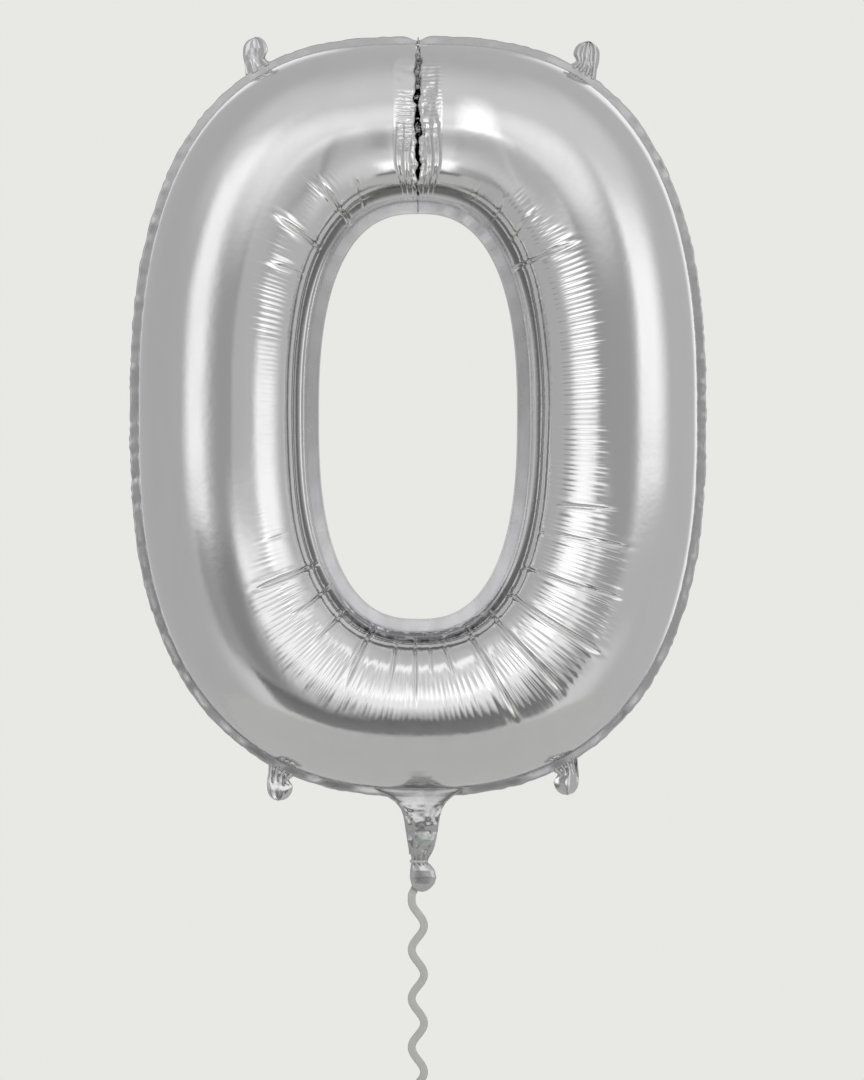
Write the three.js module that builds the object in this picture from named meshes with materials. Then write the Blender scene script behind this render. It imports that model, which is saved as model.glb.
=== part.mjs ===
// A foil number balloon in the shape of a nought: two film panels heat-sealed along the outer edge
// and round the hole, a weld across the tube at the top, four hanging tabs, an inflation tail with a
// two-film valve in it, and a curled ribbon tied to the tail.
// Millimetres, +Z up, front towards -Y. The origin is the middle of the hole, where the gas lifts.
import * as THREE from "three";

// ---- driving dimensions ----
const OUTER_HALF_WIDTH = 326;
const OUTER_HALF_HEIGHT = 430;
const OUTER_SQUARENESS = 2.575; // exponent of the outer edge, a superellipse
const OUTER_EGG = 0.125; // added to the exponent at the top, taken off at the bottom
const HOLE_HALF_WIDTH = 112;
const HOLE_HALF_HEIGHT = 229;
const HOLE_SQUARENESS = 2.55;
const TUBE_HALF_DEPTH = 90;
const OUTER_BORDER = 9; // width of the sealed border along the outer edge
const HOLE_BORDER = 14; // and round the hole
const FILM = 1; // a stand-in for film of about 0.04 mm
const VALVE_FILM = 0.4;
const GAP = 0.3; // between pieces that touch

const SEAM_HALF_WIDTH = 3; // the weld across the tube at the top
const SEAM_DEPTH_SHARE = 0.04; // how deep the tube still is at that weld
const PUFF_REACH = 24; // how far from the weld the tube takes to fill out

const STATIONS = 72; // steps round the numeral
const SECTION_STEPS = 9; // steps across one panel
const TOP_CROWDING = 0.4; // how much closer the steps are at the top, near the weld

const TAB = { halfRoot: 17, halfNeck: 13, neckAt: 9, radius: 15, length: 34, hinge: 0.6, root: 0.9 };
const TAB_FACINGS = { // the way each tab points, in degrees from +X towards +Z
  upper_left_tab: 119.5,
  upper_right_tab: 58.5,
  lower_left_tab: 243.5,
  lower_right_tab: 299.5,
};

const TAIL_ROOT = -OUTER_HALF_HEIGHT - 2.3; // top edge of the tail's films
const TAIL_END = -499;
const TAIL_FLANK = [[30, 0], [23.5, -8], [20.5, -20], [18, -50], [15, -59], [10, TAIL_END - TAIL_ROOT]];
const NECK_HALF_WIDTH = 12; // the unsealed gap in the outer border that the valve passes through
const NECK_LIFT = 1.1; // how far each panel stands off at the neck, to clear the valve
const NECK_REACH = 38;
const VALVE_HALF_WIDTH = 10.5;
const VALVE_TOP = -318;

const WAIST = { top: TAIL_END - GAP, bottom: -506.5, halfWidth: 9, halfDepth: 3.6 };
const TIE = { top: -501.5, bottom: -504.5, thickness: 0.9 };
const MOUTH = { x: 4, top: -508, bottom: -537.5, halfWidth: 14.5, halfDepth: 5 };
const KNOT = { y: 8.6, z: -503, radius: 4, halfLength: 2.8 };

const RIBBON_WIDTH = 9;
const RIBBON_THICKNESS = 1.2;
const RIBBON_BEND = -544.5; // where the ribbon swings free, just below the tail
const CURL_HALF_WIDTH = 11.5; // outer size of the curled ribbon
const CURL_HALF_DEPTH = 6;
const CURL_BOTTOM = -762;
const END_KNOT_RADIUS = 5.5;
const END_LOOP = { radius: 13, band: 1.2, halfHeight: 3.5 };

// ---- materials ----
const finish = (color, roughness, metalness) => () =>
  new THREE.MeshStandardMaterial({ color, roughness, metalness });
const foil = finish(0xb4b4b4, 0.16, 1);
const sealedFoil = finish(0xa9a7ac, 0.3, 1);
const valveFilm = finish(0xdfe4e2, 0.4, 0);
const ribbonFilm = finish(0xa3a49f, 0.45, 0);

// ---- the outline and the tube ----
const rad = THREE.MathUtils.degToRad;

/** A point of the hole's edge, and the way that edge faces, at a turn counted from the top. */
function holeEdge(turn) {
  const s = Math.sin(turn);
  const c = Math.cos(turn);
  const n = HOLE_SQUARENESS;
  const q = (Math.abs(s) ** n + Math.abs(c) ** n) ** (-1 / n);
  const x = q * s;
  const z = q * c;
  const facing = Math.atan2(
    (Math.sign(z) * Math.abs(z) ** (n - 1)) / HOLE_HALF_HEIGHT,
    (Math.sign(x) * Math.abs(x) ** (n - 1)) / HOLE_HALF_WIDTH,
  );
  return { point: new THREE.Vector2(x * HOLE_HALF_WIDTH, z * HOLE_HALF_HEIGHT), facing };
}

/** The point of the outer edge that faces a given way. */
function outerEdge(facing) {
  const n = OUTER_SQUARENESS + OUTER_EGG * Math.sin(facing);
  const p = 1 / (n - 1);
  const alongX = OUTER_HALF_WIDTH * Math.cos(facing);
  const alongZ = OUTER_HALF_HEIGHT * Math.sin(facing);
  const scale = (Math.abs(alongX) ** (n * p) + Math.abs(alongZ) ** (n * p)) ** (-1 / n);
  return new THREE.Vector2(
    OUTER_HALF_WIDTH * Math.sign(alongX) * Math.abs(alongX) ** p * scale,
    OUTER_HALF_HEIGHT * Math.sign(alongZ) * Math.abs(alongZ) ** p * scale,
  );
}

/** The line across the ring at one turn: where it starts, its direction and its length. */
function crossing(turn) {
  const spaced = turn - TOP_CROWDING * Math.sin(turn);
  const { point, facing } = holeEdge(spaced);
  const across = outerEdge(facing).sub(point);
  const width = across.length();
  return { start: point, across: across.divideScalar(width), width };
}

/** A point of the front of the tube: an angle over its section, and a layer from 0, inside, to 1. */
function tubePoint(turn, angle, layer) {
  const { start, across, width } = crossing(turn);
  const low = HOLE_BORDER + GAP + FILM;
  const halfWidth = (width - OUTER_BORDER - GAP - FILM - low) / 2;
  const middle = low + halfWidth;
  const onLine = start.clone().addScaledVector(across, middle - halfWidth * Math.cos(angle));
  const fill = onLine.y > 0 ? 1 - Math.exp(-((Math.abs(onLine.x) / PUFF_REACH) ** 1.3)) : 1;
  const share = SEAM_DEPTH_SHARE + (1 - SEAM_DEPTH_SHARE) * fill;
  const halfDepth = (TUBE_HALF_DEPTH - FILM - GAP / 2) * share;
  const outwards = new THREE.Vector2(-Math.cos(angle) / halfWidth, Math.sin(angle) / halfDepth);
  outwards.normalize().multiplyScalar(FILM * layer);
  onLine.addScaledVector(across, outwards.x);
  const nearNeck = onLine.y < 0 ? Math.max(0, 1 - Math.abs(onLine.x) / NECK_REACH) : 0;
  const standOff = (NECK_LIFT * nearNeck * (1 - Math.cos(angle))) / 2;
  const height = GAP / 2 + halfDepth * Math.sin(angle) + outwards.y + standOff;
  return new THREE.Vector3(onLine.x, -height, onLine.y);
}

/** Turns a closed shape's triangles over if they face inwards. */
function facingOut(geometry) {
  const shape = geometry.index ? geometry.toNonIndexed() : geometry;
  const p = shape.attributes.position;
  const [a, b, c] = [new THREE.Vector3(), new THREE.Vector3(), new THREE.Vector3()];
  let volume = 0;
  for (let i = 0; i < p.count; i += 3) {
    a.fromBufferAttribute(p, i);
    b.fromBufferAttribute(p, i + 1);
    c.fromBufferAttribute(p, i + 2);
    volume += a.dot(b.cross(c));
  }
  if (volume < 0) {
    for (let i = 0; i < p.count; i += 3) {
      b.fromBufferAttribute(p, i + 1);
      c.fromBufferAttribute(p, i + 2);
      p.setXYZ(i + 1, c.x, c.y, c.z);
      p.setXYZ(i + 2, b.x, b.y, b.z);
    }
  }
  shape.computeVertexNormals();
  return shape;
}

/** A closed ring round the numeral: a washer whose section is bent into place, point by point. */
function bentWasher(section, bend) {
  const profile = [...section, section[0]].map(([across, layer]) => new THREE.Vector2(1 + across, layer));
  const washer = new THREE.LatheGeometry(profile, STATIONS);
  const p = washer.attributes.position;
  for (let i = 0; i < p.count; i += 1) {
    const turn = Math.atan2(p.getX(i), p.getZ(i));
    const bent = bend(turn, Math.hypot(p.getX(i), p.getZ(i)) - 1, p.getY(i));
    p.setXYZ(i, bent.x, bent.y, bent.z);
  }
  return facingOut(washer);
}

/** One foil panel: two layers over half of the tube, joined along both edges. */
function panelGeometry(side) {
  const steps = [...Array(SECTION_STEPS + 1).keys()].map((i) => i / SECTION_STEPS);
  const section = [...steps.map((t) => [t, 1]), ...steps.reverse().map((t) => [t, 0])];
  return bentWasher(section, (turn, across, layer) => {
    const point = tubePoint(turn, across * Math.PI, layer);
    point.y *= side;
    return point;
  });
}

/** The flat sealed border round the hole. */
function holeBorderGeometry() {
  const section = [[0, -0.5], [1, -0.5], [1, 0.5], [0, 0.5]];
  return bentWasher(section, (turn, fromHole, layer) => {
    const { start, across } = crossing(turn);
    start.addScaledVector(across, fromHole * HOLE_BORDER);
    return new THREE.Vector3(start.x, layer * FILM, start.y);
  });
}

/** Points round the numeral at a distance in from the outer edge. */
function ringLine(fromOuter, firstTurn, lastTurn, steps) {
  const points = [];
  for (let i = 0; i <= steps; i += 1) {
    const { start, across, width } = crossing(firstTurn + ((lastTurn - firstTurn) * i) / steps);
    points.push(start.addScaledVector(across, width - fromOuter));
  }
  return points;
}

/** A flat piece of the given thickness, in the plane of its outline, moved by lift along its normal. */
function flatPiece(outline, thickness, lift = -thickness / 2) {
  const geometry = new THREE.ExtrudeGeometry(outline, { depth: thickness, bevelEnabled: false, curveSegments: 6 });
  return geometry.translate(0, 0, lift);
}

/** The sealed border along the outer edge, open at the neck, where the valve passes through. */
function outerBorderOutline() {
  const stop = Math.PI * (1 - 2 / STATIONS);
  const neck = (x, inwards) => new THREE.Vector2(x, -OUTER_HALF_HEIGHT + inwards);
  return new THREE.Shape([
    neck(-NECK_HALF_WIDTH, 0),
    ...ringLine(0, -stop, stop, STATIONS - 2),
    neck(NECK_HALF_WIDTH, 0),
    neck(NECK_HALF_WIDTH, OUTER_BORDER),
    ...ringLine(OUTER_BORDER, stop, -stop, STATIONS - 2),
    neck(-NECK_HALF_WIDTH, OUTER_BORDER),
  ]);
}

// ---- tabs, tail, valve and ribbon ----
function tabOutline() {
  const { halfRoot, halfNeck, neckAt, radius, length, root } = TAB;
  const shoulder = length - radius;
  const outline = new THREE.Shape();
  outline.moveTo(-halfRoot, root);
  outline.lineTo(halfRoot, root);
  outline.quadraticCurveTo(halfNeck, root, halfNeck, neckAt);
  outline.lineTo(radius, shoulder);
  outline.absarc(0, shoulder, radius, 0, Math.PI, false);
  outline.lineTo(-halfNeck, neckAt);
  outline.quadraticCurveTo(-halfNeck, root, -halfRoot, root);
  return outline;
}

function tailOutline() {
  const flank = (side) => TAIL_FLANK.map(([half, drop]) => new THREE.Vector2(side * half, TAIL_ROOT + drop));
  return new THREE.Shape([...flank(1), ...flank(-1).reverse()]);
}

function stripOutline(halfWidth, top, bottom) {
  return new THREE.Shape([
    new THREE.Vector2(-halfWidth, top),
    new THREE.Vector2(-halfWidth, bottom),
    new THREE.Vector2(halfWidth, bottom),
    new THREE.Vector2(halfWidth, top),
  ]);
}

/** A turned shape flattened to an oval section, upright along Z. */
function ovalTurned(profile, halfWidth, halfDepth, segments) {
  const geometry = new THREE.LatheGeometry(profile.map(([r, z]) => new THREE.Vector2(r, z)), segments);
  return facingOut(geometry.rotateX(Math.PI / 2).scale(halfWidth, halfDepth, 1));
}

/** A flat strip that follows a path lying in the YZ plane. */
function stripAlong(points, halfWidth, halfThickness, steps) {
  const section = stripOutline(halfWidth, halfThickness, -halfThickness);
  const extrudePath = new THREE.CatmullRomCurve3(points.map(([y, z]) => new THREE.Vector3(0, y, z)));
  return facingOut(new THREE.ExtrudeGeometry(section, { steps, extrudePath, bevelEnabled: false }));
}

// ---- the assembly ----
const balloon = new THREE.Group();
const filmPlane = new THREE.Group(); // flat pieces are drawn in its XY plane: Y up, Z to the front
filmPlane.rotation.x = Math.PI / 2;
balloon.add(filmPlane);

function place(parent, name, geometry, material) {
  const mesh = new THREE.Mesh(geometry, material());
  mesh.name = name;
  parent.add(mesh);
  return mesh;
}

place(balloon, "front_foil_panel", panelGeometry(1), foil);
place(balloon, "rear_foil_panel", panelGeometry(-1), foil);
place(filmPlane, "outer_sealed_border", flatPiece(outerBorderOutline(), FILM), sealedFoil);
place(balloon, "hole_sealed_border", holeBorderGeometry(), sealedFoil);

const seamTop = OUTER_HALF_HEIGHT - OUTER_BORDER - 3;
const seamBottom = HOLE_HALF_HEIGHT + HOLE_BORDER + 3;
place(filmPlane, "top_cross_seal", flatPiece(stripOutline(SEAM_HALF_WIDTH, seamTop, seamBottom), FILM), sealedFoil);

for (const [name, facing] of Object.entries(TAB_FACINGS)) {
  const root = outerEdge(rad(facing));
  const tab = place(filmPlane, name, flatPiece(tabOutline(), FILM), foil);
  tab.position.set(root.x, root.y, 0);
  tab.rotation.z = rad(facing - 90);
}

// The valve's two films lie face to face in the middle plane, with the tail's films over them.
const valveLift = GAP / 2;
const tailLift = valveLift + VALVE_FILM + GAP;
for (const [side, face] of [["front", 1], ["rear", -1]]) {
  const lift = (near, thickness) => (face > 0 ? near : -near - thickness);
  const film = (outline, thickness, near) => flatPiece(outline, thickness, lift(near, thickness));
  const inside = stripOutline(VALVE_HALF_WIDTH, VALVE_TOP, -OUTER_HALF_HEIGHT);
  const inTail = stripOutline(VALVE_HALF_WIDTH, TAIL_ROOT, TAIL_END + 4);
  place(filmPlane, `valve_${side}_film`, film(inside, VALVE_FILM, valveLift), valveFilm);
  place(filmPlane, `valve_inlet_${side}_film`, film(inTail, VALVE_FILM, valveLift), valveFilm);
  place(filmPlane, `tail_${side}_film`, film(tailOutline(), FILM, tailLift), foil);
}

const waist = ovalTurned(
  [[0, WAIST.bottom], [0.9, WAIST.bottom], [0.8, (WAIST.top + WAIST.bottom) / 2], [1, WAIST.top], [0, WAIST.top]],
  WAIST.halfWidth, WAIST.halfDepth, 16,
);
place(balloon, "tail_gathered_waist", waist, foil);

const tieIn = [WAIST.halfWidth + GAP, WAIST.halfDepth + GAP];
const tieOut = tieIn.map((half) => half + TIE.thickness);
const tieOutline = new THREE.Shape();
tieOutline.absellipse(0, 0, tieOut[0], tieOut[1], 0, 2 * Math.PI, false, 0);
tieOutline.holes.push(new THREE.Path().absellipse(0, 0, tieIn[0], tieIn[1], 0, 2 * Math.PI, true, 0));
const tieHeight = TIE.top - TIE.bottom;
const tie = new THREE.ExtrudeGeometry(tieOutline, { depth: tieHeight, bevelEnabled: false, curveSegments: 10 });
place(balloon, "ribbon_tie", tie, ribbonFilm).position.z = TIE.bottom;

const mouthHeight = MOUTH.top - MOUTH.bottom;
const mouthProfile = [[0, 0], [0.55, 0.06], [0.9, 0.25], [1, 0.48], [0.88, 0.74], [0.6, 0.93], [0.5, 1], [0, 1]];
const mouth = ovalTurned(mouthProfile.map(([r, z]) => [r, z * mouthHeight]), MOUTH.halfWidth, MOUTH.halfDepth, 20);
place(balloon, "tail_mouth", mouth, foil).position.set(MOUTH.x, 0, MOUTH.bottom);

const barrel = [[0, -1], [0.7, -1], [1, -0.45], [1, 0.45], [0.7, 1], [0, 1]];
const knot = new THREE.LatheGeometry(
  barrel.map(([r, y]) => new THREE.Vector2(r * KNOT.radius, y * KNOT.halfLength)), 14,
);
place(balloon, "ribbon_knot", facingOut(knot), ribbonFilm).position.set(0, KNOT.y, KNOT.z);

const upperRun = [[8.6, -507.4], [8.4, -520], [7.4, -530], [4, -538], [0.6, -543.5]];
const upperStrip = stripAlong(upperRun, RIBBON_WIDTH / 2, RIBBON_THICKNESS / 2, 12);
place(balloon, "ribbon_upper_run", upperStrip, ribbonFilm);

const curl = new THREE.Shape().absellipse(0, 0, CURL_HALF_WIDTH, CURL_HALF_DEPTH, 0, 2 * Math.PI, false, 0);
const curlTop = RIBBON_BEND - 1;
const curlTube = { depth: curlTop - CURL_BOTTOM, steps: 10, curveSegments: 5, bevelEnabled: false };
place(balloon, "ribbon", new THREE.ExtrudeGeometry(curl, curlTube), ribbonFilm).position.z = CURL_BOTTOM;

const endKnotZ = CURL_BOTTOM - GAP - END_KNOT_RADIUS;
const endKnot = new THREE.LatheGeometry(
  barrel.map(([r, y]) => new THREE.Vector2(r * END_KNOT_RADIUS, y * END_KNOT_RADIUS)), 14,
);
place(balloon, "ribbon_end_knot", facingOut(endKnot.rotateX(Math.PI / 2)), ribbonFilm).position.z = endKnotZ;

const { radius, band, halfHeight } = END_LOOP;
const loopProfile = [
  [radius, -halfHeight], [radius, halfHeight], [radius - band, halfHeight], [radius - band, -halfHeight],
  [radius, -halfHeight],
];
const loop = new THREE.LatheGeometry(loopProfile.map(([r, y]) => new THREE.Vector2(r, y)), 20);
const loopZ = endKnotZ - END_KNOT_RADIUS - GAP - radius;
place(balloon, "ribbon_end_loop", facingOut(loop), ribbonFilm).position.z = loopZ;

export default balloon;
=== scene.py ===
# %% [markdown]
# A foil number balloon: the nought. Two sheets of aluminised film are welded
# face to face along the outside and around the hole, so helium swells them
# into a fat tube that is bent into a ring. The inner side of the bend has too
# much film and puckers, and the outer side is pulled smooth. This script loads
# the frame of solid parts, and then models every part of the balloon as film.

# %% Load the frame
import math

import bmesh
import bpy
import numpy as np
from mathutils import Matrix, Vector


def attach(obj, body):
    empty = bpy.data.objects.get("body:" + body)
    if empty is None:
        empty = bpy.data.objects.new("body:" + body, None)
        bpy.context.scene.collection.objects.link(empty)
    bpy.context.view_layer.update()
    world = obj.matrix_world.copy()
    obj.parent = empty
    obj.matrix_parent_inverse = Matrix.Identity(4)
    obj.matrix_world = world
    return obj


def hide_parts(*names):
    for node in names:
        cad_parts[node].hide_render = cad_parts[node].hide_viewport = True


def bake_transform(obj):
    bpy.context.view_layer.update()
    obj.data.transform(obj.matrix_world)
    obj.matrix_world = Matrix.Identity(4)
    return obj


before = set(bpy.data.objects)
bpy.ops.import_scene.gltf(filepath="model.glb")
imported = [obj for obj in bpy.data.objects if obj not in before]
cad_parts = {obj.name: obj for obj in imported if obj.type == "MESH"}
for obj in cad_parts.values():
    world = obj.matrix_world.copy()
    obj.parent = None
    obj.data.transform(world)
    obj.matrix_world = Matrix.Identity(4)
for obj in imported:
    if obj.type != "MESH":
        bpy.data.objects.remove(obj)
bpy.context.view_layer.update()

# %% [markdown]
# The camera comes first. It stands 4 m in front, level with a point a little
# below the middle of the hole, with a long lens, so the nought looks flat on
# and its hanging ribbon runs out of the bottom of the view.

# %% Camera
CAMERA_AT = (0.0158, -4.0, -0.1397)
VIEW_HEIGHT = 1.2215
SENSOR = 36.0

camera_data = bpy.data.cameras.new("camera")
camera_data.sensor_width = SENSOR
camera_data.lens = SENSOR * -CAMERA_AT[1] / VIEW_HEIGHT
camera = bpy.data.objects.new("camera", camera_data)
camera.location = CAMERA_AT
camera.rotation_euler = (math.radians(90), 0, 0)
bpy.context.scene.collection.objects.link(camera)
bpy.context.scene.camera = camera
bpy.context.scene.view_settings.view_transform = "Standard"
print("lens", round(camera_data.lens, 1), "mm")

# %% [markdown]
# Almost every part here is a thin film that has been bent. The way to make one
# is the same each time: start from a flat grid, whose two directions stand for
# "along" and "across" the strip of film, and bend it by giving each of its
# corners a new place. One helper makes the grid and does the bending, and a
# strip that goes all the way round has its two ends merged.

# %% Bending a flat grid of film
MERGE_WITHIN = 2e-6


def film(name, along, across, bend, closed=False, tube=False):
    """A grid of film; bend(v, u) gives the places for along v, across u.

    closed joins the ends of along, and tube those of across."""
    mesh_maker = bmesh.new()
    bmesh.ops.create_grid(
        mesh_maker, x_segments=across, y_segments=along, size=0.5)
    mesh = bpy.data.meshes.new(name)
    mesh_maker.to_mesh(mesh)
    flat = np.empty(len(mesh.vertices) * 3)
    mesh.vertices.foreach_get("co", flat)
    u, v = flat[0::3] + 0.5, flat[1::3] + 0.5
    mesh.vertices.foreach_set("co", bend(v, u).ravel())
    mesh.update()
    mesh_maker.clear()
    mesh_maker.from_mesh(mesh)
    if closed or tube:
        bmesh.ops.remove_doubles(
            mesh_maker, verts=mesh_maker.verts, dist=MERGE_WITHIN)
    return finish_piece(name, mesh_maker, mesh)


def finish_piece(name, mesh_maker, mesh=None, facing=True):
    """Turns a shape into a smooth object, its faces outwards if facing."""
    if facing:
        bmesh.ops.recalc_face_normals(mesh_maker, faces=mesh_maker.faces)
    for face in mesh_maker.faces:
        face.smooth = True
    mesh = mesh or bpy.data.meshes.new(name)
    mesh_maker.to_mesh(mesh)
    mesh_maker.free()
    piece = bpy.data.objects.new(name, mesh)
    bpy.context.scene.collection.objects.link(piece)
    print(name, len(mesh.polygons), "faces")
    return piece


# %% Facing, thickness and rims
def face_towards(piece, towards):
    """Turns an open film so that its outside faces along towards."""
    mesh = piece.data
    normals = np.empty(len(mesh.polygons) * 3)
    mesh.polygons.foreach_get("normal", normals)
    if (normals.reshape(-1, 3) @ np.array(towards)).sum() < 0:
        mesh.flip_normals()


def thicken(piece, thickness):
    """Gives a film its thickness, half of it on each side."""
    wall = piece.modifiers.new("film thickness", "SOLIDIFY")
    wall.thickness, wall.offset = thickness, 0.0
    wall.use_even_offset = False


def close_rims(piece, operator, **settings):
    """Closes the open rims of a piece and turns its faces outwards."""
    closing = bmesh.new()
    closing.from_mesh(piece.data)
    rims = [edge for edge in closing.edges if edge.is_boundary]
    operator(closing, edges=rims, **settings)
    bmesh.ops.recalc_face_normals(closing, faces=closing.faces)
    closing.to_mesh(piece.data)
    closing.free()


# %% [markdown]
# Film creases at random, but the same way on each run, so all chance comes
# from seeded numbers. Two helpers make smooth shapes of them: a wavering line,
# and a patchwork of hills. A soft step is used wherever a wrinkle fades in or
# out.

# %% Chance and soft steps
def soft_step(x, low, high):
    t = np.clip((x - low) / (high - low), 0, 1)
    return t * t * (3 - 2 * t)


def waver(x, step, seed):
    """Smooth random values from -1 to 1 along a line, step apart."""
    knots = np.random.RandomState(seed).uniform(-1, 1, 4096)
    cell = np.floor(x / step)
    t = x / step - cell
    t = t * t * (3 - 2 * t)
    index = cell.astype(int) % 4096
    return knots[index] * (1 - t) + knots[(index + 1) % 4096] * t


def hills(x, y, step, seed):
    """The same over a plane."""
    knots = np.random.RandomState(seed).uniform(-1, 1, (256, 256))
    i, j = np.floor(x / step), np.floor(y / step)
    s, t = x / step - i, y / step - j
    s, t = s * s * (3 - 2 * s), t * t * (3 - 2 * t)
    i, j = i.astype(int) % 256, j.astype(int) % 256
    k, m = (i + 1) % 256, (j + 1) % 256
    return ((knots[i, j] * (1 - s) + knots[k, j] * s) * (1 - t)
            + (knots[i, m] * (1 - s) + knots[k, m] * s) * t)


# %% [markdown]
# The ribbon. Curling ribbon is a flat tape that was pulled over a blade, so it
# hangs in even waves. It is the one free cord here: it leaves the knot behind
# the waist of the tail, runs down behind the tail's end, and waves down to the
# knot of the loop that a hand or a weight holds. A curve with a bevel would
# turn as it goes, so it is made as a strip of film that keeps its flat side
# forward.

# %% Ribbon route
RIBBON_WIDTH = 0.0088
WAVE_LENGTH, WAVE_REACH, WAVE_PHASE = 0.0552, 0.0070, -0.548
RIBBON_TOP, RIBBON_BOTTOM = -0.5074, -0.7635
BESIDE_MOUTH, BELOW_MOUTH, LAST_WAVE = -0.5330, -0.5480, -0.7490
BEHIND_MOUTH = 0.0086
SWAY, SWAY_LAG = 0.0016, 0.9
RIBBON_THICKNESS, RIBBON_CUP = 0.0004, 0.0007
END_KNOT_AT = (0.0, 0.0, -0.7678)


def ribbon_place(t):
    """x, y, z of the ribbon's middle, t from 0 at the knot to 1 at the end."""
    z = RIBBON_TOP + (RIBBON_BOTTOM - RIBBON_TOP) * t
    wave = -0.0002 - WAVE_REACH * np.cos(
        2 * np.pi * (z - WAVE_PHASE) / WAVE_LENGTH)
    starts = 1 - soft_step(z, BESIDE_MOUTH, RIBBON_TOP)
    ends = soft_step(z, RIBBON_BOTTOM, LAST_WAVE)
    slack = -0.0072 + 0.0046 * soft_step(z, -0.5430, -0.5300)
    x = starts * ends * np.where(z > BELOW_MOUTH, slack, wave)
    behind = BEHIND_MOUTH * soft_step(z, -0.5435, -0.5260)
    sway = SWAY * np.sin(
        2 * np.pi * (z - WAVE_PHASE) / WAVE_LENGTH + SWAY_LAG)
    y = behind + sway * ends * soft_step(-z, 0.5400, 0.5700)
    return np.stack([x, y, z], -1)


def ribbon_strip(v, u):
    """The tape round that middle line, slightly cupped towards the front."""
    middle = ribbon_place(v)
    step = 1e-3
    tangent = ribbon_place(np.minimum(v + step, 1)) - ribbon_place(
        np.maximum(v - step, 0))
    side = np.stack([-tangent[:, 2], 0 * v, tangent[:, 0]], -1)
    side /= np.linalg.norm(side, axis=1)[:, None]
    place = middle + side * ((u - 0.5) * RIBBON_WIDTH)[:, None]
    place[:, 1] -= RIBBON_CUP * (1 - (2 * u - 1) ** 2)
    return place


ribbon = film("hanging_ribbon", 260, 6, ribbon_strip)
face_towards(ribbon, (0, -1, 0))
thicken(ribbon, RIBBON_THICKNESS)


# %% [markdown]
# The tie, the two knots and the loop at the ribbon's end. A band or a loop of
# ribbon is a rectangle spun about its middle. A knot is a small round lump
# with the ribbon's own turns showing on it as slanting grooves, so a sphere is
# pushed in along a spiral.

# %% Tie, knots and loop
BAND_STEPS = 64


def spun_band(name, centre, axis, start, radii, width, thickness):
    """A band round centre with the two radii; thickness is a share of them."""
    maker = bmesh.new()
    bmesh.ops.create_cube(maker, size=1)
    side = max(maker.faces, key=lambda f: f.calc_center_median().x)
    others = [f for f in maker.faces if f is not side]
    bmesh.ops.delete(maker, geom=others, context="FACES")
    axis, start = Vector(axis), Vector(start)
    across = axis.cross(start)
    for vert in maker.verts:
        out, along = vert.co.y * thickness, vert.co.z * width
        vert.co = start * (1 + out) + axis * along
    geom = maker.verts[:] + maker.edges[:] + maker.faces[:]
    bmesh.ops.spin(
        maker, geom=geom, cent=(0, 0, 0), axis=axis, angle=2 * math.pi,
        steps=BAND_STEPS, use_merge=True)
    inside = [f for f in maker.faces if len(f.edges) == 4 and all(
        len(e.link_faces) > 2 for e in f.edges)]
    bmesh.ops.delete(maker, geom=inside, context="FACES_ONLY")
    bmesh.ops.remove_doubles(maker, verts=maker.verts, dist=1e-6)
    for vert in maker.verts:
        a, b, c = vert.co.dot(start), vert.co.dot(across), vert.co.dot(axis)
        vert.co = (Vector(centre) + start * (a * radii[0])
                   + across * (b * radii[1]) + axis * c)
    return finish_piece(name, maker)


def wound_knot(name, centre, size, turns, groove, slant):
    """A knot: a lump with slanting grooves between the ribbon's turns."""
    maker = bmesh.new()
    bmesh.ops.create_uvsphere(
        maker, u_segments=48, v_segments=32, radius=1)
    for vert in maker.verts:
        x, y, z = vert.co
        turn = math.atan2(y, x)
        wave = math.sin(turns * math.asin(max(-1, min(1, z))) + slant * turn)
        swell = 1 + 0.08 * math.sin(3 * turn + 2 * z) - groove * wave ** 8
        vert.co = Vector(centre) + Vector(
            (x * size[0] * swell, y * size[1] * swell, z * size[2]))
    return finish_piece(name, maker)


tie = spun_band("ribbon_tie_band", (0.001, 0, -0.5030), (0, 0, 1), (1, 0, 0),
                (0.0100, 0.0046), 0.0030, 0.08)
knot = wound_knot("ribbon_knot_lump", (0, 0.0082, -0.5032),
                  (0.0042, 0.0036, 0.0044), 5, 0.16, 2)
end_knot = wound_knot("ribbon_end_knot_lump", END_KNOT_AT,
                      (0.0056, 0.0050, 0.0056), 4, 0.18, 2)
end_loop = spun_band("ribbon_end_loop_band", (0, 0, -0.7864), (0, 1, 0),
                     (1, 0, 0), (0.0128, 0.0138), 0.0070, 0.035)

# %% Where the ribbon and its knots belong
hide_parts("ribbon", "ribbon_upper_run")
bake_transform(ribbon)
for piece, body, node in (
        (tie, "tail", "ribbon_tie"), (knot, "ribbon_knot", "ribbon_knot"),
        (end_knot, "ribbon", "ribbon_end_knot"),
        (end_loop, "ribbon", "ribbon_end_loop")):
    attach(piece, body)
    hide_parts(node)

# %% [markdown]
# The outline. The hole and the outside are both rounded oblongs, halfway from
# an ellipse to a box, and the outside is a little squarer at the top than at
# the bottom. Film is measured across from a point on the hole's edge to the
# point on the outside that faces the same way.

# %% Outlines of the nought
HOLE_HALF_WIDTH, HOLE_HALF_HEIGHT, HOLE_SQUARENESS = 0.112, 0.229, 2.55
OUTER_HALF_WIDTH, OUTER_HALF_HEIGHT = 0.326, 0.430
OUTER_SQUARENESS, OUTER_EGG = 2.575, 0.125
HOLE_BORDER, OUTER_BORDER = 0.014, 0.009
TUBE_HALF_DEPTH = 0.0888


def power(x, p):
    """A power that keeps the sign."""
    return np.sign(x) * np.abs(x) ** p


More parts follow.
